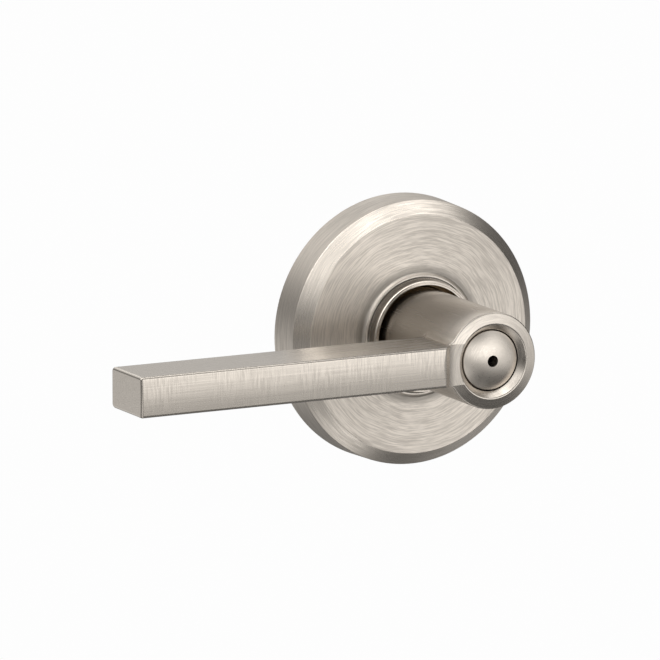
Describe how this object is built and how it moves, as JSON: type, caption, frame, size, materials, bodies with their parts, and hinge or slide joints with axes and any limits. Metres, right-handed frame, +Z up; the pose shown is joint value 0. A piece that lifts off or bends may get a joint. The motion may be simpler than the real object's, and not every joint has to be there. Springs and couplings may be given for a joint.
{
  "type": "door lever handle",
  "caption": "Straight square-edged door lever on a round bevelled rose, with a sprung push disc and release hole in the hub.",
  "frame": {"origin": "on the door's face, on the spindle axis (the middle of the back of the mounting plate)", "axes": "+Z up, -Y out of the door towards the user, and the lever's bar points along -X at rest"},
  "size_m": [0.136, 0.1015, 0.07],
  "materials": {
    "brushed_nickel": "brushed satin nickel plating",
    "satin_nickel": "satin nickel plating",
    "bright_nickel": "bright nickel plating",
    "zinc_plated_steel": "bright zinc plating",
    "hardened_steel": "ground and oiled",
    "spring_steel": "oil-tempered",
    "sintered_bronze": "sintered, matt",
    "acetal": "natural",
    "black_oxide": "black oxide"
  },
  "bodies": {
    "rose": {"rose_cover": "brushed_nickel", "rose_collar": "satin_nickel", "collar_liner": "bright_nickel", "mounting_plate": "zinc_plated_steel", "through_bolt_posts": "zinc_plated_steel", "stop_pins": "hardened_steel", "spring_housing": "zinc_plated_steel", "housing_screws": "zinc_plated_steel", "rose_snap_clips": "spring_steel", "clip_rivets": "zinc_plated_steel", "bearing_bush": "sintered_bronze", "thrust_washer": "acetal", "lever_return_spring": "spring_steel"},
    "lever": {"lever_handle": "brushed_nickel", "lever_sleeve": "zinc_plated_steel", "lever_set_screw": "black_oxide", "drive_cam": "hardened_steel", "retaining_ring": "spring_steel", "spindle": "hardened_steel", "spindle_pins": "hardened_steel", "push_return_spring": "spring_steel", "release_spring": "spring_steel"},
    "push_button": {"push_disc": "satin_nickel", "push_stem": "hardened_steel", "push_stem_clip": "spring_steel"},
    "release": {"release_pin": "hardened_steel"}
  },
  "joints": [
    {"name": "lever_turn", "type": "hinge", "parent": "rose", "child": "lever", "pos_m": [0, 0, 0], "axis": [0, -1, 0], "range_deg": [-50, 50], "stiffness_Nm_per_rad": 1.2, "springref_deg": -2.86, "deforming": ["lever_return_spring"]},
    {"name": "button_press", "type": "slide", "parent": "lever", "child": "push_button", "axis": [0, 1, 0], "range_m": [0, 0.0025], "stiffness_N_per_m": 1000, "springref_m": -0.0015, "deforming": ["push_return_spring"]},
    {"name": "release_pin_push", "type": "slide", "parent": "lever", "child": "release", "axis": [0, 1, 0], "range_m": [0, 0.004], "stiffness_N_per_m": 400, "springref_m": -0.002, "deforming": ["release_spring"]}
  ]
}
